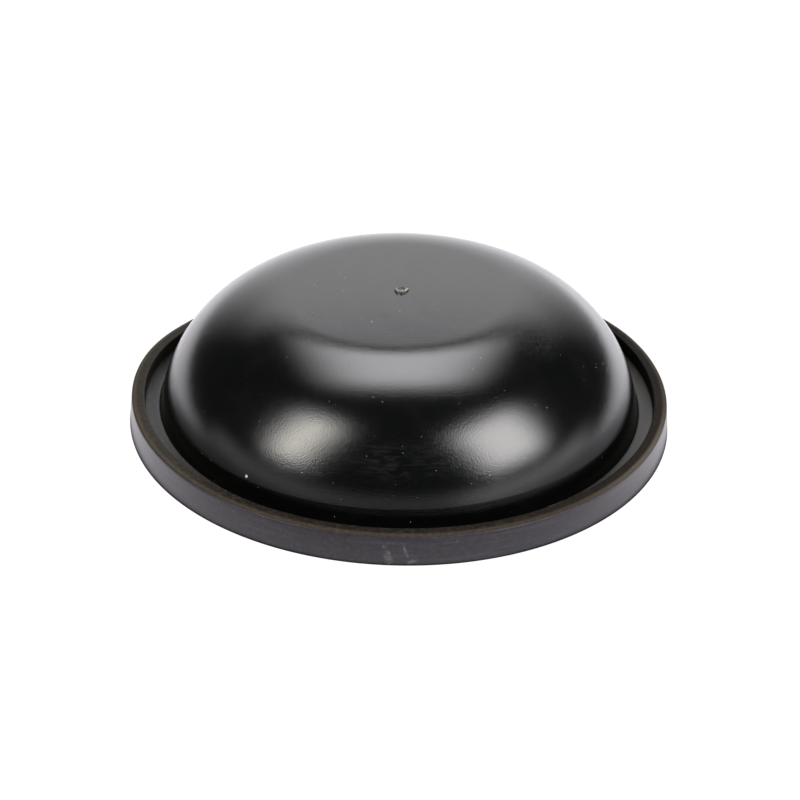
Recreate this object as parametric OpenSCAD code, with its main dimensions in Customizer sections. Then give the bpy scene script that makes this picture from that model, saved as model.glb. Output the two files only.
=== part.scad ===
// Moulded rubber cup diaphragm: a domed cup with a flat flange and a raised clamping bead
// round its edge, made in one piece. It stands on the flat underside of the flange with the
// crown up. The origin is the centre of the underside, and Z is the axis of the cup.
// Lengths are in millimetres and angles in degrees.

/* [Cup] */
// Height of the crown above the underside
height = 46.4; // [44:0.1:52]
// Diameter of the hollow between its upright walls
hollow_d = 154; // [144:0.2:158]
// Thickness of the rubber in the cup
wall = 3.6; // [2:0.1:5]
// Radius of the shallow crown, in section
crown_r = 1000; // [400:10:2000]
// Radius of the shoulder, in section
shoulder_r = 48; // [42:1:54]
// Radius of the haunch between the shoulder and the wall, in section
haunch_r = 8; // [5.5:0.5:14]
// Slope of the section where the shoulder runs into the haunch
haunch_slope = 72; // [66:1:75]
// Angle at which the outer wall of the cup leans in above its foot
wall_draft = 14; // [10:0.5:17]
// Radius of the small fillet between that wall and the flange
foot_r = 1.2; // [0.6:0.1:2]

/* [Flange and bead] */
// Outside diameter of the bead at the underside
bead_d = 185; // [183:1:210]
// Height of the bead above the underside
bead_h = 10.4; // [9:0.1:12]
// Width of the bead at the underside
bead_w = 5.4; // [4.8:0.1:6]
// Angle at which the outer wall of the bead leans in
bead_draft = 6.3; // [3:0.1:8]
// Width of the flat inner part of the bead's top
bead_flat = 2.1; // [1.4:0.1:2.6]
// How far the rolled outer part of the bead's top falls towards its outer edge
bead_drop = 0.5; // [0.3:0.05:0.7]
// Thickness of the flange between the cup and the bead
flange_t = 5.5; // [4.5:0.1:6.5]
// Radius of the rounded inner edge on top of the bead
bead_inner_r = 0.4; // [0.2:0.1:0.8]
// Radius of the small fillet between the bead and the flange
bead_root_r = 0.4; // [0.2:0.1:0.5]

/* [Mouth of the hollow] */
// Radius of the rounded edge where the hollow opens through the underside
mouth_r = 2.4; // [1:0.1:3]

/* [Gate mark] */
// Diameter of the torn stub that the mould's gate left on the crown
gate_d = 4.8; // [3:0.1:7]
// Height of the stub above the crown
gate_h = 1.1; // [0.6:0.1:2]
// Diameter of the hollow torn out of the stub
tear_d = 3; // [1.5:0.1:4]
// Depth of the torn hollow below the top of the stub
tear_depth = 0.7; // [0.3:0.1:1]
// Width of the two notches torn in the front of the stub
notch_w = 0.9; // [0.4:0.1:1.2]
// Angle between the two notches, round the stub
notch_apart = 50; // [30:5:80]

/* [Hidden] */
$fn = 180;

// The cup's section is three arcs that run into each other. Inside, they end upright and an
// upright wall goes on down to the mouth. Outside, a leaning wall leaves the haunch and widens
// down to the flange.
hollow_r = hollow_d / 2;
cup_r = hollow_r + wall;
shoulder_x = cup_r - haunch_r - (shoulder_r - haunch_r) * sin(haunch_slope);
crown_slope = asin(shoulder_x / (crown_r - shoulder_r));
crown_c = [0, height - crown_r];
shoulder_c = crown_c + (crown_r - shoulder_r) * away(crown_slope);
haunch_c = shoulder_c + (shoulder_r - haunch_r) * away(haunch_slope);
wall_out = away(90 - wall_draft);
foot_c = on_wall(flange_t + foot_r, foot_r);

// The bead stands on the edge of the flange, and the roll of its top is one shallow arc
bead_r = bead_d / 2;
bead_in_r = bead_r - bead_w;
crest_r = bead_in_r + bead_flat;
roll_run = bead_r - (bead_h - bead_drop) * tan(bead_draft) - crest_r;
roll_r = (pow(roll_run, 2) + pow(bead_drop, 2)) / (2 * bead_drop);

// Length that a cutting or joining shape runs past the surface it meets
past = 1;
// How far each arc of the section overlaps the one before it, so that their outlines cross
lap = 0.002;

// Unit direction in the section at an angle from the axis
function away(angle) = [sin(angle), cos(angle)];

// Point at a height z whose distance from the outer wall of the cup, outwards, is d
function on_wall(z, d) =
    [haunch_c[0] + (haunch_r + d - wall_out[1] * (z - haunch_c[1])) / wall_out[0], z];

// The part of a disc on the axis side of its radius at an angle from the axis
module half_disc(centre, r, edge) {
    reach = 2 * r;
    along = reach * away(edge);
    inward = reach * away(edge - 90);
    intersection() {
        translate(centre) circle(r);
        polygon([centre - along, centre + along, centre + along + inward,
            centre - along + inward]);
    }
}

// Section of the cup filled to the axis, set in from the outside by a depth, down to z = low
module cup_fill(inset, low) {
    deep = crown_c[1];
    intersection() {
        union() {
            half_disc(crown_c, crown_r - inset, crown_slope);
            half_disc(shoulder_c, shoulder_r - inset + lap, haunch_slope);
            translate(haunch_c) circle(haunch_r - inset + 2 * lap);
            translate([0, deep]) square([cup_r - inset, haunch_c[1] - deep]);
        }
        translate([0, low]) square([cup_r + past, height - low + past]);
    }
}

// The small piece between a square corner and an arc that touches both of its sides, with
// the arc's centre towards the quadrant [sx, sy]. Added, it makes a fillet in an inside
// corner. Cut away, it rounds an outside corner.
module corner_round(corner, r, sx, sy) {
    translate(corner) scale([sx, sy]) difference() {
        translate([-past, -past]) square(r + past);
        translate([r, r]) circle(r);
    }
}

// Section of the bead, from the underside to its top
module bead_fill() {
    reach = bead_h + past;
    intersection() {
        polygon([[bead_in_r, 0], [bead_r, 0], [bead_r - reach * tan(bead_draft), reach],
            [bead_in_r, reach]]);
        union() {
            square([crest_r, bead_h]);
            square([bead_r + past, bead_h - roll_r]);
            translate([crest_r, bead_h - roll_r]) circle(roll_r + lap);
        }
    }
}

// Section of the leaning wall outside the cup, and of the small fillet at its foot
module leaning_wall() {
    low = flange_t - past;
    polygon([[0, low], on_wall(low, 0), haunch_c + haunch_r * wall_out, haunch_c]);
    difference() {
        polygon([foot_c, [foot_c[0], low], on_wall(low, -past), foot_c - (foot_r + past) * wall_out]);
        translate(foot_c) circle(foot_r + lap);
    }
}

// Half section of the whole diaphragm
module section() {
    difference() {
        union() {
            cup_fill(0, 0);
            square([bead_in_r + past, flange_t]);
            bead_fill();
            leaning_wall();
            corner_round([bead_in_r, flange_t], bead_root_r, -1, 1);
        }
        cup_fill(wall, -past);
        corner_round([hollow_r, 0], mouth_r, 1, 1);
        corner_round([bead_in_r, bead_h], bead_inner_r, 1, -1);
    }
}

// Torn stub of the gate, standing on the crown
module gate_stub() {
    stub_top = height + gate_h;
    tear_r = (pow(tear_d / 2, 2) + pow(tear_depth, 2)) / (2 * tear_depth);
    difference() {
        translate([0, 0, height - wall / 2]) cylinder(h = wall / 2 + gate_h, d = gate_d);
        translate([0, 0, stub_top - tear_depth + tear_r]) sphere(tear_r);
        for (side = [-1, 1])
            rotate(side * notch_apart / 2) translate([0, -gate_d / 2, height])
                cylinder(h = gate_h + past, d = notch_w);
    }
}

module diaphragm() {
    color([0.06, 0.06, 0.065]) union() {
        rotate_extrude() section();
        gate_stub();
    }
}

diaphragm();
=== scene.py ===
import math

import bpy
import numpy as np
from mathutils import Matrix, Vector


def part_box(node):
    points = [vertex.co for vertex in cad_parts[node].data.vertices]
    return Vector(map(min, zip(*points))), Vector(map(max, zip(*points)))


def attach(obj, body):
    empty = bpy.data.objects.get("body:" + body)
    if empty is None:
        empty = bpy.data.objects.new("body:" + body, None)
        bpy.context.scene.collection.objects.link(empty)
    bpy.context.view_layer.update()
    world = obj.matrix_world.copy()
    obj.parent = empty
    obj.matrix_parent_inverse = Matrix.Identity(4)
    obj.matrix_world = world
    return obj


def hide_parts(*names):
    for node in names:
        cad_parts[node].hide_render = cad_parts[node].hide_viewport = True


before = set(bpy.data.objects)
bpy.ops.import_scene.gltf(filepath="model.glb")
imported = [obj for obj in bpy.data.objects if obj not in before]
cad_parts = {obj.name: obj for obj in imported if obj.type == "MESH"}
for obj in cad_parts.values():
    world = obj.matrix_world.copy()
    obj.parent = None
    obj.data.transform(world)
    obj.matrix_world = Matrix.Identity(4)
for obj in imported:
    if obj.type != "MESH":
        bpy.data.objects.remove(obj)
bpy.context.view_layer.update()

# Diaphragm
# The whole seal is one compression moulding in black rubber: a domed cup, a flat flange with a
# raised clamping bead, and the torn stub of the mould's gate on the crown. Nothing clamps it, so
# the soft cup leans a little to one side on its rim, and the rim is drawn in at two places.

# Sizes as moulded, in millimetres, and angles in radians. The mesh has 360 points to a ring.
mm = 0.001
quarter = math.pi / 2
top_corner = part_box("diaphragm")[1]
bead_radius = top_corner.x / mm
cup_height = 46.4
cup_radius = 80.6
wall = 3.6
crown_radius = 1000.0
shoulder_radius = 48.0
haunch_radius = 8.0
haunch_slope = math.radians(72)
wall_draft = math.radians(14)
foot_fillet = 0.8
bead_height = 10.4
bead_width = 5.4
bead_draft = math.radians(6.3)
bead_flat = 2.1
bead_drop = 0.5
flange_thickness = 5.5
bead_outer_edge = 0.15
bead_inner_edge = 0.4
bead_root = 0.4
base_edge = 0.35
mouth_edge = 2.4
segments = 360


def away(angle):
    """Direction in the section, as radius and height, at an angle from the axis."""
    return np.array([math.sin(angle), math.cos(angle)])


# The section's arcs: crown, shoulder and haunch run into each other, and the outer wall leaves
# the haunch on a tangent and leans down to a small fillet at its foot.
shoulder_x = cup_radius - haunch_radius - (shoulder_radius - haunch_radius) * math.sin(haunch_slope)
crown_slope = math.asin(shoulder_x / (crown_radius - shoulder_radius))
crown_centre = np.array([0.0, cup_height - crown_radius])
shoulder_centre = crown_centre + (crown_radius - shoulder_radius) * away(crown_slope)
haunch_centre = shoulder_centre + (shoulder_radius - haunch_radius) * away(haunch_slope)
wall_out = away(quarter - wall_draft)
foot_height = flange_thickness + foot_fillet
foot_reach = haunch_radius + foot_fillet - wall_out[1] * (foot_height - haunch_centre[1])
foot_centre = np.array([haunch_centre[0] + foot_reach / wall_out[0], foot_height])

# The bead: a flat crest inside, and outside it a shallow roll that ends at a soft arris.
bead_inner = bead_radius - bead_width
crest_radius = bead_inner + bead_flat
arris_height = bead_height - bead_drop
arris_radius = bead_radius - arris_height * math.tan(bead_draft)
roll_run = arris_radius - crest_radius
roll_radius = (roll_run ** 2 + bead_drop ** 2) / (2 * bead_drop)
roll_end = math.asin((roll_run - bead_outer_edge) / roll_radius)
arris_dip = 0.02
arris_top = [arris_radius - 0.03, arris_height - arris_dip]
arris_foot = [arris_radius + 0.05, arris_height - bead_outer_edge]

inner_edge_centre = [bead_inner + bead_inner_edge, bead_height - bead_inner_edge]
root_centre = [bead_inner - bead_root, flange_thickness + bead_root]
base_centre = [bead_radius - base_edge, base_edge]
hollow_radius = cup_radius - wall
mouth_centre = [hollow_radius + mouth_edge, mouth_edge]


def on_arc(centre, radius, angles):
    """Points of the section on a circle, at angles from the axis."""
    return np.stack([centre[0] + radius * np.sin(angles), centre[1] + radius * np.cos(angles)], 1)


def arc(centre, radius, start, end, points):
    return on_arc(centre, radius, np.linspace(start, end, points))


def line(start, end, points):
    return np.linspace(start, end, points)


# The crown's rings lie close together under the gate stub, so that its torn edge has the points
# it needs. Each later stretch leaves out the point that it shares with the one before.
bowl_rings = np.linspace(0.0, 1.8, 19)[1:]
torn_rings = np.linspace(1.8, 3.0, 19)[1:]
stub_rings = np.concatenate([bowl_rings, torn_rings, [3.3, 3.8, 4.6, 5.6]])
open_crown = 6.8
crown_angles = np.concatenate(
    [np.arcsin(stub_rings / crown_radius), np.linspace(open_crown / crown_radius, crown_slope, 24)])
outside = [
    on_arc(crown_centre, crown_radius, crown_angles),
    arc(shoulder_centre, shoulder_radius, crown_slope, haunch_slope, 52)[1:],
    arc(haunch_centre, haunch_radius, haunch_slope, quarter - wall_draft, 7)[1:],
    line(haunch_centre + haunch_radius * wall_out, foot_centre - foot_fillet * wall_out, 14)[1:],
    arc(foot_centre, foot_fillet, -quarter - wall_draft, -2 * quarter, 8)[1:],
    line([foot_centre[0], flange_thickness], [root_centre[0], flange_thickness], 3)[1:],
    arc(root_centre, bead_root, 2 * quarter, quarter, 5)[1:],
    line([bead_inner, root_centre[1]], [bead_inner, inner_edge_centre[1]], 4)[1:],
    arc(inner_edge_centre, bead_inner_edge, -quarter, 0, 7)[1:],
    line([inner_edge_centre[0], bead_height], [crest_radius, bead_height], 4)[1:],
    arc([crest_radius, bead_height - roll_radius], roll_radius, 0, roll_end, 8)[1:],
    line(arris_top, arris_foot, 4),
    line(arris_foot, [bead_radius, base_edge], 12)[1:],
    arc(base_centre, base_edge, quarter, 2 * quarter, 4)[1:],
]
inside = [
    line([base_centre[0], 0], [mouth_centre[0], 0], 6)[1:],
    arc(mouth_centre, mouth_edge, -2 * quarter, -quarter, 8)[1:],
    line([hollow_radius, mouth_edge], [hollow_radius, haunch_centre[1]], 5)[1:],
    arc(haunch_centre, haunch_radius - wall, quarter, haunch_slope, 8)[1:],
    arc(shoulder_centre, shoulder_radius - wall, haunch_slope, crown_slope, 20)[1:],
    arc(crown_centre, crown_radius - wall, crown_slope, 0.0, 9)[1:-1],
]
section = np.concatenate(outside + inside)
around = np.arange(segments) * 2 * math.pi / segments
radius = section[:, :1] * np.ones(segments)
z = section[:, 1:] * np.ones(segments)
x, y = radius * np.cos(around), radius * np.sin(around)


def turned_from(heading):
    """Angle round the axis from a heading, up to half a turn each way."""
    return np.angle(np.exp(1j * (around - heading)))[None, :]


def waves(ripples):
    """Ripples round the axis, each given as its height, how many there are and where it starts."""
    return sum(high * np.sin(number * around + start) for high, number, start in ripples)[None, :]


def fade(value, soft):
    """1 well below zero and 0 well above it."""
    return 1 / (1 + np.exp(np.clip(value / soft, -40, 40)))


# The torn stub: a ragged ring round a small bowl, low at the back, with two notches in front.
stub_radius = 2.4
stub_height = top_corner.z / mm - cup_height
stub_shift = 0.9
torn_height = 0.86 * stub_height
least_height = 0.03
side_inset, side_soft = 0.18, 0.07
bowl_depth, bowl_radius = 0.72, 1.55
notch_depth, notch_width, notch_start, notch_run = 0.75, 0.17, 1.0, 0.9
notch_headings = (-0.42, 0.44)
back_share, back_turn, back_soft = 0.26, 1.55, 0.22
from_front = turned_from(-quarter)
edge = stub_radius + waves([(0.096, 3, 0.7), (0.060, 7, 2.1), (0.042, 13, 0.4)])
side = fade(radius - edge + side_inset, side_soft)
bowl = bowl_depth * np.clip(1 - (radius / bowl_radius) ** 2, 0, 1)
notches = sum(np.exp(-((from_front - at) / notch_width) ** 2) for at in notch_headings)
notches = notch_depth * notches * np.clip((radius - notch_start) / notch_run, 0, 1)
crest = waves([(0.14, 5, 1.0), (0.09, 11, 0.0)]) * np.clip(radius / stub_radius, 0, 1)
back_fall = back_share + (1 - back_share) * fade(np.abs(from_front) - back_turn, back_soft)
stub = side * np.clip(torn_height * back_fall - bowl - notches + crest, least_height, stub_height)
on_stub = (np.arange(len(section)) < len(stub_rings))[:, None]
z = z + np.where(on_stub, stub, 0)
x = x + stub_shift * on_stub

# The soft cup's lean and shift grow from nothing at its foot to their full size above it.
cup_lean = math.radians(1.14)
cup_shift = -0.35
lean_run = 12.0
rise = np.clip((section[:, 1:] - flange_thickness) / lean_run, 0, 1)
rise = rise * rise * (3 - 2 * rise)
rise = np.where(radius > foot_centre[0], 0, rise)
x, z = (x + rise * (cup_shift - (z - flange_thickness) * math.sin(cup_lean)),
        z + rise * x * math.sin(cup_lean))

# The rim's two dents: heading in degrees, depth in millimetres and half-width in radians.
rim_dents = ((143, 4.6, 0.30), (40, 1.0, 0.18))
dent_start, dent_run = foot_centre[0] - 1.5, 5.0
pull = sum(depth * np.exp(-(turned_from(math.radians(heading)) / width) ** 2)
           for heading, depth, width in rim_dents)
pull = pull * np.clip((radius - dent_start) / dent_run, 0, 1)
x, y = x * (1 - pull / np.maximum(radius, 1)), y * (1 - pull / np.maximum(radius, 1))

# The rings join into one closed skin, with a fan of triangles at each end of the axis.
rows = len(section)
grid = np.stack([x, y, z], 2).reshape(-1, 3)
crown_ring, hollow_ring = grid[:segments], grid[-segments:]
crown_tip = [crown_ring[:, 0].mean(), 0.0, crown_ring[:, 2].mean()]
hollow_tip = [hollow_ring[:, 0].mean(), 0.0, hollow_ring[:, 2].mean()]
vertices = np.concatenate([grid, [crown_tip, hollow_tip]]) * mm
step = np.arange(segments)
after = (step + 1) % segments
faces = []
for row in range(rows - 1):
    upper, lower = row * segments, (row + 1) * segments
    faces += np.stack([upper + step, lower + step, lower + after, upper + after], 1).tolist()
last = (rows - 1) * segments
faces += np.stack([np.full(segments, len(grid)), step, after], 1).tolist()
faces += np.stack([np.full(segments, len(grid) + 1), last + after, last + step], 1).tolist()
mesh = bpy.data.meshes.new("diaphragm_moulding")
mesh.from_pydata(vertices.tolist(), [], faces)
mesh.polygons.foreach_set("use_smooth", [True] * len(mesh.polygons))
mesh.update()

# Each corner keeps its place in the section as moulded, so that the finish follows the dents.
tips_as_moulded = [[0, cup_height], [0, cup_height - wall]]
as_moulded = np.concatenate([np.repeat(section, segments, axis=0), tips_as_moulded]) * mm
corners = np.empty(len(mesh.loops), int)
mesh.loops.foreach_get("vertex_index", corners)
mesh.uv_layers.new(name="section").data.foreach_set("uv", as_moulded[corners].ravel().tolist())
seal = bpy.data.objects.new("diaphragm_moulding", mesh)
bpy.context.scene.collection.objects.link(seal)

# The rubber's skin is one node group, and each of the three rubbers below says how much of the
# marks of handling it has. The helpers add their nodes to the tree that nodes and links name.
skin = bpy.data.node_groups.new("moulded_rubber", "ShaderNodeTree")
skin.interface.new_socket("Handling Marks", in_out="INPUT", socket_type="NodeSocketFloat")
skin.interface.new_socket("Base Color", in_out="OUTPUT", socket_type="NodeSocketColor")
skin.interface.new_socket("Roughness", in_out="OUTPUT", socket_type="NodeSocketFloat")
skin.interface.new_socket("Normal", in_out="OUTPUT", socket_type="NodeSocketVector")
nodes, links = skin.nodes, skin.links
given = nodes.new("NodeGroupInput")
surface = nodes.new("NodeGroupOutput")


def maths(operation, *values):
    node = nodes.new("ShaderNodeMath")
    node.operation = operation
    for socket, value in zip(node.inputs, values):
        if isinstance(value, (int, float)):
            socket.default_value = value
        else:
            links.new(value, socket)
    return node.outputs[0]


def total(first, *others):
    for other in others:
        first = maths("ADD", first, other)
    return first


def product(first, *others):
    for other in others:
        first = maths("MULTIPLY", first, other)
    return first


def ramp(value, start, end, low=0.0, high=1.0):
    """Runs smoothly from low at start to high at end."""
    node = nodes.new("ShaderNodeMapRange")
    node.interpolation_type = "SMOOTHSTEP"
    node.inputs["From Min"].default_value = start
    node.inputs["From Max"].default_value = end
    node.inputs["To Min"].default_value = low
    node.inputs["To Max"].default_value = high
    links.new(value, node.inputs["Value"])
    return node.outputs[0]


def band(value, low, high, soft):
    """1 between low and high, falling smoothly to 0 over soft at each of them."""
    return product(ramp(value, low - soft / 2, low + soft / 2),
                   ramp(value, high - soft / 2, high + soft / 2, low=1.0, high=0.0))


def noise(vector, scale, detail=2.0, roughness=0.5):
    node = nodes.new("ShaderNodeTexNoise")
    node.inputs["Scale"].default_value = scale
    node.inputs["Detail"].default_value = detail
    node.inputs["Roughness"].default_value = roughness
    links.new(vector, node.inputs["Vector"])
    return node.outputs["Fac"]


def clouds(vector, scale, detail, roughness, thin, thick, strength=1.0):
    """A cloudy mask: nothing where the noise is below thin, full strength where above thick."""
    return ramp(noise(vector, scale, detail, roughness), thin, thick, high=strength)


def stretched(vector, scale):
    node = nodes.new("ShaderNodeVectorMath")
    node.operation = "MULTIPLY"
    links.new(vector, node.inputs[0])
    node.inputs[1].default_value = scale
    return node.outputs[0]


def patch(vector, centre, full, end, strength):
    """A soft round patch, at full strength out to one radius and gone at another, all in mm."""
    node = nodes.new("ShaderNodeVectorMath")
    node.operation = "DISTANCE"
    links.new(vector, node.inputs[0])
    node.inputs[1].default_value = [along * mm for along in centre]
    return ramp(node.outputs["Value"], full * mm, end * mm, low=strength, high=0.0)


def parted(vector):
    """The three components of a vector."""
    node = nodes.new("ShaderNodeSeparateXYZ")
    links.new(vector, node.inputs[0])
    return node.outputs["X"], node.outputs["Y"], node.outputs["Z"]


def laid_over(under, colour, amount, blend="MIX"):
    """A colour laid over another by an amount."""
    node = nodes.new("ShaderNodeMix")
    node.data_type = "RGBA"
    node.blend_type = blend
    links.new(amount, node.inputs["Factor"])
    links.new(under, node.inputs["A"])
    node.inputs["B"].default_value = (*colour, 1)
    return node.outputs["Result"]


place = nodes.new("ShaderNodeTexCoord").outputs["Object"]
place_x, place_y, place_z = parted(place)
section_place = nodes.new("ShaderNodeUVMap")
section_place.uv_map = "section"
ring_radius, ring_height, _ = parted(section_place.outputs["UV"])

# Going out from the cup: its bright black, a grey margin at its foot that is a painted highlight on
# the foot fillet, the dusty floor of the flange, the black bead with a brown bloom on its outer
# edge that is partly a painted highlight on its crest, and the grey band outside.
cup_black = (0.0008, 0.0011, 0.0010)
foot_highlight_grey = (0.014, 0.013, 0.012)
floor_grey = (0.0042, 0.0040, 0.0034)
bead_black = (0.0056, 0.0044, 0.0032)
# The bloom's brown is partly the rubber's own bloom and partly a painted highlight on the bead's
# crest.
bloom_sheen_brown = (0.025, 0.0195, 0.0135)
band_grey = (0.017, 0.0145, 0.020)
cup_end, foot_highlight_start, foot_highlight_end, floor_start = 82.05, 82.3, 83.1, 83.4
floor_end, bead_start = bead_inner - 0.2, bead_inner - 0.05
bloom_sheen_start, bloom_sheen_full, bloom_sheen_end, band_start = 89.6, 90.4, 91.25, 91.45
zones_low, zones_high = 80, 93
border_wander = 0.25
wander = product(maths("SUBTRACT", noise(place, 500), 0.5), border_wander * mm)
across = nodes.new("ShaderNodeMapRange")
across.inputs["From Min"].default_value = zones_low * mm
across.inputs["From Max"].default_value = zones_high * mm
links.new(total(ring_radius, wander), across.inputs["Value"])


def zones(stops):
    """A colour that goes from ring to ring of the seal, from radii in millimetres and colours."""
    node = nodes.new("ShaderNodeValToRGB")
    links.new(across.outputs[0], node.inputs["Fac"])
    stops = [((at - zones_low) / (zones_high - zones_low), (*colour, 1)) for at, colour in stops]
    for at, colour in stops[1:-1]:
        node.color_ramp.elements.new(at).color = colour
    for end in (0, -1):
        node.color_ramp.elements[end].position, node.color_ramp.elements[end].color = stops[end]
    return node.outputs["Color"]


tone = zones([
    (cup_end, cup_black), (foot_highlight_start, foot_highlight_grey), (foot_highlight_end, foot_highlight_grey),
    (floor_start, floor_grey), (floor_end, floor_grey), (bead_start, bead_black),
    (bloom_sheen_start, bead_black), (bloom_sheen_full, bloom_sheen_brown), (bloom_sheen_end, bloom_sheen_brown),
    (band_start, band_grey)])
cup_dull, floor_dull, bead_dull, band_dull = 0.16, 0.38, 0.6, 0.33
dull_floor_start, dull_bead_end = 82.4, 91.3
dullness = zones([
    (cup_end, [cup_dull] * 3), (dull_floor_start, [floor_dull] * 3), (floor_end, [floor_dull] * 3),
    (bead_start, [bead_dull] * 3), (dull_bead_end, [bead_dull] * 3), (band_start, [band_dull] * 3)])

# Stray specks of dust lie in some cells of a fine pattern, each with a strength of its own, and
# one large speck lies low on the left of the cup.
cells_per_metre = 420
empty_share = 0.55
strongest_speck = 0.5
cells = nodes.new("ShaderNodeTexVoronoi")
cells.inputs["Scale"].default_value = cells_per_metre
links.new(place, cells.inputs["Vector"])
draws = nodes.new("ShaderNodeSeparateColor")
links.new(cells.outputs["Color"], draws.inputs[0])
has_speck = maths("GREATER_THAN", draws.outputs[0], empty_share)
mid_cell = ramp(cells.outputs["Distance"], 0.03, 0.07, low=1.0, high=0.0)
small_specks = product(mid_cell, has_speck, draws.outputs[1], strongest_speck)
large_speck = patch(place, (-47.3, -64.6, 13.0), full=0.3, end=0.6, strength=0.9)
specks = maths("MAXIMUM", small_specks, large_speck)

# Handling has left a faint smudge on the right shoulder and fine level scuffs on the cup's front.
# The scuffed patch is wide and low, so it is a round one in stretched lengths.
smudge = product(patch(place, (43.5, -27.5, 43.0), full=1, end=11, strength=0.022),
                 clouds(place, 900, 4.0, 0.7, thin=0.3, thick=0.8))
scuff_height, height_stretch = 25.0, 1.6
wide_place = stretched(place, (0.45, 1, height_stretch))
scratchy_place = stretched(place, (190, 190, 1100))
scuff_centre = (0.0, -72.5, scuff_height * height_stretch)
scuffs = product(patch(wide_place, scuff_centre, full=3, end=12, strength=0.015),
                 clouds(scratchy_place, 1, 5.0, 0.75, thin=0.42, thick=0.72))

# Chalky strokes are rubbed across the front of the band, and faint streaks run round it.
band_edge = 91.4
on_band = maths("GREATER_THAN", ring_radius, band_edge * mm)


def rub(x, z, length, width, lean):
    """A soft stroke on the front of the band: place and size in millimetres, lean in degrees."""
    lean = math.radians(lean)
    to_right, to_top = maths("SUBTRACT", place_x, x * mm), maths("SUBTRACT", place_z, z * mm)
    run = total(product(to_right, math.sin(lean)), product(to_top, math.cos(lean)))
    off = maths("SUBTRACT", product(to_right, math.cos(lean)), product(to_top, math.sin(lean)))
    return product(ramp(maths("ABSOLUTE", run), 0.2 * length * mm, length * mm, low=1.0, high=0.0),
                   ramp(maths("ABSOLUTE", off), 0.0, width * mm, low=1.0, high=0.0))


upper_left, lower_left = rub(-3.2, 7.0, 1.8, 0.8, 40), rub(-2.2, 3.0, 3.4, 1.6, -15)
upper_right, lower_right = rub(3.0, 5.4, 3.4, 0.7, -20), rub(5.2, 1.6, 2.2, 1.0, 70)
strokes = maths("MAXIMUM", maths("MAXIMUM", upper_left, lower_left),
                maths("MAXIMUM", upper_right, lower_right))
in_front = maths("LESS_THAN", place_y, 0.0)
chalk_grain = clouds(place, 500, 3.0, 0.6, thin=0.3, thick=0.75, strength=0.16)
rubbed = product(strokes, on_band, in_front, chalk_grain)
drawn_out_place = stretched(place, (60, 60, 900))
foot_shade_height = 0.6
clear_of_foot = maths("GREATER_THAN", ring_height, foot_shade_height * mm)
streaks = clouds(drawn_out_place, 1, 3.0, 0.6, thin=0.45, thick=0.75, strength=0.018)
streaks = product(streaks, on_band, clear_of_foot)

# Dust is a film too: a faint haze all over and a mottle on the flange and bead. The same tan also
# paints reflections: on the bead top and its inner edge at the left, and on the flange's floor and
# the brown bloom at the right. The torn stub's top is painted grey as a highlight.
haze = clouds(place, 90, 4.0, 0.6, thin=0.45, thick=0.75, strength=0.002)
mottle_start = 82.2
mottled = maths("GREATER_THAN", ring_radius, mottle_start * mm)
more_at_left = ramp(place_x, 20 * mm, 75 * mm, low=1.0, high=0.3)
mottle = clouds(place, 700, 4.0, 0.75, thin=0.4, thick=0.7, strength=0.018)
mottle = product(mottle, mottled, more_at_left)

# Painted reflection: the bead top is lightened at the far left, with a painted highlight along its
# inner edge there.
bead_top_reflection, inner_edge_highlight = 0.018, 0.025
on_bead_top = band(ring_radius, 87 * mm, 91 * mm, soft=0.4 * mm)
on_inner_edge = band(ring_radius, 87 * mm, 87.55 * mm, soft=0.3 * mm)
far_left = ramp(place_x, -80 * mm, -50 * mm, low=1.0, high=0.0)
painted_bead_reflection = total(product(on_bead_top, bead_top_reflection), product(on_inner_edge, inner_edge_highlight))
painted_bead_reflection = product(painted_bead_reflection, far_left)

# Painted reflection: the flange's floor is lightened towards the right.
on_floor = band(ring_radius, 83 * mm, 86.8 * mm, soft=0.6 * mm)
painted_floor_reflection = product(on_floor, ramp(place_x, 30 * mm, 80 * mm, high=0.024))
# Painted reflection: the brown bloom is lightened at the right, less towards the back.
on_bloom_sheen = band(ring_radius, 90.1 * mm, 91.6 * mm, soft=1.2 * mm)
less_at_back = ramp(place_y, -30 * mm, -5 * mm, low=1.0, high=0.2)
painted_bloom_reflection = product(on_bloom_sheen, ramp(place_x, 50 * mm, 85 * mm, high=0.05), less_at_back)

# Painted highlight: the torn stub's top is greyed with the dust tan where it catches the light.
torn_start = cup_height + 0.4
torn_highlight_amount = 0.27
painted_torn_highlight = product(maths("GREATER_THAN", place_z, torn_start * mm), torn_highlight_amount)
dust_and_painted_light = total(haze, mottle, painted_bead_reflection, painted_floor_reflection, painted_bloom_reflection, painted_torn_highlight)

# The band is dark in the last half millimetre above its foot. Dust, with the painted reflections
# and highlight in its tan, and chalk lie over all tones.
shade_black = (0, 0, 0)
dust_tan = (0.66, 0.60, 0.50)
chalk_white = (0.62, 0.62, 0.66)
foot_shade = product(
    on_band, ramp(ring_height, 0.1 * mm, foot_shade_height * mm, low=0.75, high=0.0))
handling = product(total(smudge, rubbed, scuffs), given.outputs["Handling Marks"])
chalk = total(handling, maths("MAXIMUM", specks, streaks))
colour = laid_over(tone, shade_black, foot_shade, "MULTIPLY")
colour = laid_over(colour, dust_tan, dust_and_painted_light)
colour = laid_over(colour, chalk_white, chalk)
links.new(colour, surface.inputs["Base Color"])
speck_dull = 0.5
links.new(total(dullness, product(specks, speck_dull)), surface.inputs["Roughness"])

# The mould's fine grain is the same all over.
grain_depth = 0.037
grains_per_metre = 2450
bump = nodes.new("ShaderNodeBump")
bump.inputs["Strength"].default_value = 1.0
bump.inputs["Distance"].default_value = grain_depth * mm
links.new(noise(place, grains_per_metre, 0.3, 0.5), bump.inputs["Height"])
links.new(bump.outputs["Normal"], surface.inputs["Normal"])

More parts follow.
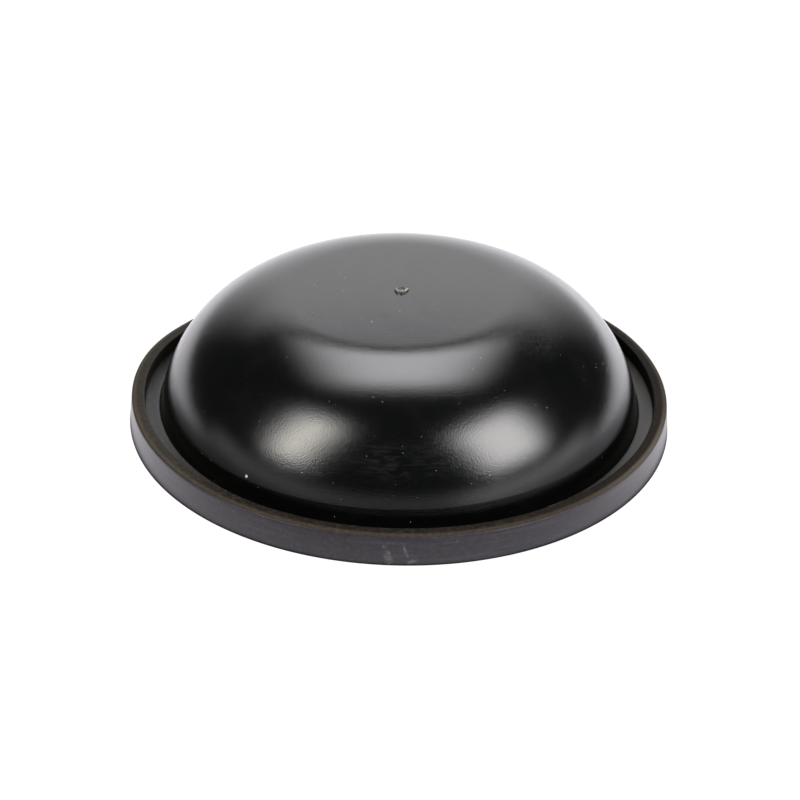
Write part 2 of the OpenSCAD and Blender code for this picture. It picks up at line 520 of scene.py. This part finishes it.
# Three rubbers of one moulding: the satin cup and band, which are handled, the duller floor of
# the flange, and the dull bead. Each has its name, its shine and its marks of handling.
rubbers = (("satin_black_rubber", 0.5, 1.0), ("flange_rubber", 0.24, 0.0),
           ("dull_bead_rubber", 0.04, 0.0))
for name, shine, marks in rubbers:
    rubber = bpy.data.materials.new(name)
    rubber.use_nodes = True
    nodes, links = rubber.node_tree.nodes, rubber.node_tree.links
    shader = nodes["Principled BSDF"]
    shader.inputs["Specular IOR Level"].default_value = shine
    worn = nodes.new("ShaderNodeGroup")
    worn.node_tree = skin
    worn.inputs["Handling Marks"].default_value = marks
    for socket in ("Base Color", "Roughness", "Normal"):
        links.new(worn.outputs[socket], shader.inputs[socket])
    mesh.materials.append(rubber)

# Which rubber each row of faces shows: the flange's floor starts in the cup's foot fillet.
slack = 0.01
floor_edge, floor_top = foot_centre[0] - 0.5, flange_thickness + 0.3
face_radius, face_height = ((section[:-1] + section[1:]) / 2).T
is_bead_top = ((face_radius > bead_inner - slack) & (face_radius < arris_radius)
               & (face_height > flange_thickness))
is_floor = ((face_radius > floor_edge) & (face_radius < bead_inner + slack)
            & (face_height > flange_thickness - slack) & (face_height < floor_top))
row_rubber = is_floor.astype(int) + 2 * is_bead_top.astype(int)
face_rubber = np.concatenate([np.repeat(row_rubber, segments), np.zeros(2 * segments, int)])
mesh.polygons.foreach_set("material_index", face_rubber.tolist())

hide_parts("diaphragm")
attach(seal, "root")

# Floor
# The seal lies on a white paper sweep, which the camera sees plain white. The rubber mirrors it
# bright behind, beside and close round the seal, and dim in front. The line that it stands on is
# in its own shade.
floor_reach = 6
floor_corners = [(-floor_reach, -floor_reach, 0), (floor_reach, -floor_reach, 0),
                 (floor_reach, floor_reach, 0), (-floor_reach, floor_reach, 0)]
floor_mesh = bpy.data.meshes.new("floor")
floor_mesh.from_pydata(floor_corners, [], [(0, 1, 2, 3)])
floor = bpy.data.objects.new("floor", floor_mesh)
bpy.context.scene.collection.objects.link(floor)

paper = bpy.data.materials.new("pale_floor")
paper.use_nodes = True
nodes, links = paper.node_tree.nodes, paper.node_tree.links
nodes.clear()
white_seen = 1.05
paper_tint = (0.975, 0.955, 1.0, 1)
sheet = nodes.new("ShaderNodeNewGeometry")
sheet_x, sheet_y, _ = parted(sheet.outputs["Position"])
from_axis = maths("SQRT", total(product(sheet_x, sheet_x), product(sheet_y, sheet_y)))
sheet_dim = 0.03
behind = ramp(sheet_y, 17 * mm, 58 * mm, high=1.41)
at_right = ramp(sheet_x, 111 * mm, 141 * mm, high=0.62)
at_left = ramp(sheet_x, -141 * mm, -111 * mm, low=0.24, high=0.0)
far_light = total(behind, sheet_dim, at_right, at_left)
close_round = ramp(from_axis, 112 * mm, 130 * mm, low=1.0, high=0.0)
close_light = product(close_round, ramp(sheet_y, -115 * mm, -45 * mm, low=0.8, high=1.6))
clear_of_seal = ramp(from_axis, 92.8 * mm, 95 * mm)
sheet_light = product(maths("MAXIMUM", far_light, close_light), clear_of_seal)
mirrored = nodes.new("ShaderNodeEmission")
links.new(sheet_light, mirrored.inputs["Strength"])
mirrored.inputs["Color"].default_value = paper_tint
seen = nodes.new("ShaderNodeEmission")
seen.inputs["Strength"].default_value = white_seen


def either(choice, when_not, when_so):
    """One shader or another, by a choice between 0 and 1."""
    node = nodes.new("ShaderNodeMixShader")
    for socket, source in zip(node.inputs, (choice, when_not, when_so)):
        links.new(source, socket)
    return node.outputs[0]


looked_at = nodes.new("ShaderNodeLightPath").outputs["Is Camera Ray"]
top_side = either(looked_at, mirrored.outputs[0], seen.outputs[0])
see_through = nodes.new("ShaderNodeBsdfTransparent").outputs[0]
both_sides = either(sheet.outputs["Backfacing"], top_side, see_through)
links.new(both_sides, nodes.new("ShaderNodeOutputMaterial").inputs["Surface"])
floor_mesh.materials.append(paper)

# Lights
# A studio of diffusing panels round the table: one overhead and behind, a backdrop, a softbox at
# each front side, and pale walls low at the sides and front. All of it is a sky of soft shapes,
# hung so that each falls where the rubber mirrors it, and the camera sees plain white instead.
world = bpy.data.worlds.new("studio")
world.use_nodes = True
bpy.context.scene.world = world
nodes, links = world.node_tree.nodes, world.node_tree.links
sky = nodes["Background"]
ray = nodes.new("ShaderNodeTexCoord").outputs["Generated"]
east, north, up = parted(ray)
azimuth = maths("ARCTAN2", east, north)
elevation = maths("ARCSINE", up)
deg = math.radians(1)

# The overhead panel's edges are slopes: how far to the right or back for each length upwards.
# It is a little brighter in front.
least_up = 0.02
upwards = maths("MAXIMUM", up, least_up)
rightward, backward = maths("DIVIDE", east, upwards), maths("DIVIDE", north, upwards)
well_above = maths("GREATER_THAN", up, 0.05)
front_edge = ramp(backward, 0.015, 0.315)
back_edge = ramp(backward, 0.98, 1.06, low=1.0, high=0.0)
overhead_light = ramp(backward, 0.15, 0.95, low=8.4, high=6.7)
side_edges = band(rightward, -0.32, 0.29, soft=0.47)
overhead = product(side_edges, front_edge, back_edge, well_above, overhead_light)

# The backdrop brightens upwards and ends in a soft edge below the overhead panel.
backdrop_light = ramp(elevation, 26 * deg, 31 * deg, low=1.55, high=2.7)
backdrop_top = ramp(elevation, 31 * deg, 36.6 * deg, low=1.0, high=0.0)
backdrop_sides = band(azimuth, -26 * deg, 26 * deg, soft=40 * deg)
backdrop = product(backdrop_sides, backdrop_light, backdrop_top)

least_towards, least_ahead = 0.05, 0.06


def softbox(azimuth, elevation, half_width, half_height, soft, strength):
    """A lit panel that faces the seal. Its widths are per unit of its distance."""
    a, e = math.radians(azimuth), math.radians(elevation)
    centre = Vector((math.cos(e) * math.sin(a), math.cos(e) * math.cos(a), math.sin(e)))
    level = Vector((math.cos(a), -math.sin(a), 0))
    upright = level.cross(centre)

    def along(direction):
        node = nodes.new("ShaderNodeVectorMath")
        node.operation = "DOT_PRODUCT"
        links.new(ray, node.inputs[0])
        node.inputs[1].default_value = direction
        return node.outputs["Value"]

    towards = maths("MAXIMUM", along(centre), least_towards)
    width = band(maths("DIVIDE", along(level), towards), -half_width, half_width, soft)
    height = band(maths("DIVIDE", along(upright), towards), -half_height, half_height, soft)
    ahead = maths("GREATER_THAN", along(centre), least_ahead)
    return product(width, height, ahead, strength)


left_box = softbox(azimuth=-123.6, elevation=38.9, half_width=0.155, half_height=0.318,
                   soft=0.3, strength=14.5)
right_box = softbox(azimuth=120.7, elevation=37.2, half_width=0.266, half_height=0.308,
                    soft=0.3, strength=13.0)

# The low walls: both sides alike, with more light at the right, and lower towards the front.
from_back = maths("ABSOLUTE", azimuth)
right_wall_light = 1.2
both_walls = product(ramp(from_back, 78 * deg, 92 * deg, high=0.95),
                     ramp(from_back, 130 * deg, 165 * deg, low=1.0, high=0.66))
right_wall = product(band(azimuth, 80 * deg, 150 * deg, soft=20 * deg), right_wall_light)
walls_foot = ramp(from_back, 100 * deg, 150 * deg, low=0.5 * deg, high=-1.5 * deg)
foot_edge = ramp(maths("SUBTRACT", elevation, walls_foot), -3 * deg, 3 * deg)
top_edge = ramp(elevation, 7 * deg, 13 * deg, low=1.0, high=0.0)
walls = product(total(both_walls, right_wall), foot_edge, top_edge)

# The two front softboxes are a little warmer than the rest, the left one more so.
room_dim = 0.05
right_share, full_warmth = 0.45, 15.0
room_tint, softbox_tint = (0.985, 0.975, 1.0, 1), (1.0, 0.955, 0.87, 1)
room = total(overhead, backdrop, left_box, right_box, walls, room_dim)
warmth = nodes.new("ShaderNodeMix")
warmth.data_type = "RGBA"
softboxes = total(left_box, product(right_box, right_share))
links.new(ramp(softboxes, 0.0, full_warmth), warmth.inputs["Factor"])
warmth.inputs["A"].default_value = room_tint
warmth.inputs["B"].default_value = softbox_tint
links.new(warmth.outputs["Result"], sky.inputs["Color"])
looked_at = nodes.new("ShaderNodeLightPath").outputs["Is Camera Ray"]
mirrored_room = product(maths("SUBTRACT", 1.0, looked_at), room)
links.new(total(product(looked_at, white_seen), mirrored_room), sky.inputs["Strength"])

# Camera
# A still camera on a stand in front of the table. It looks down at the seal and is turned a
# little round its own axis.
tilt, roll = math.radians(30.8), math.radians(1.46)
aim = Vector((0.23, 1.64, 2.75)) * mm
camera_distance = 647.5 * mm
ahead = Vector((0, math.cos(tilt), -math.sin(tilt)))
down = Vector((0, -math.sin(tilt), -math.cos(tilt)))
right = Vector((1, 0, 0))
frame_right = math.cos(roll) * right - math.sin(roll) * down
frame_down = math.sin(roll) * right + math.cos(roll) * down
facing = Matrix((frame_right, -frame_down, -ahead)).transposed().to_4x4()
camera_data = bpy.data.cameras.new("camera")
camera_data.lens = 83.98
camera_data.sensor_width = 36
camera = bpy.data.objects.new("camera", camera_data)
bpy.context.scene.collection.objects.link(camera)
camera.matrix_world = Matrix.Translation(aim - ahead * camera_distance) @ facing
bpy.context.scene.camera = camera
bpy.context.scene.view_settings.view_transform = "Standard"
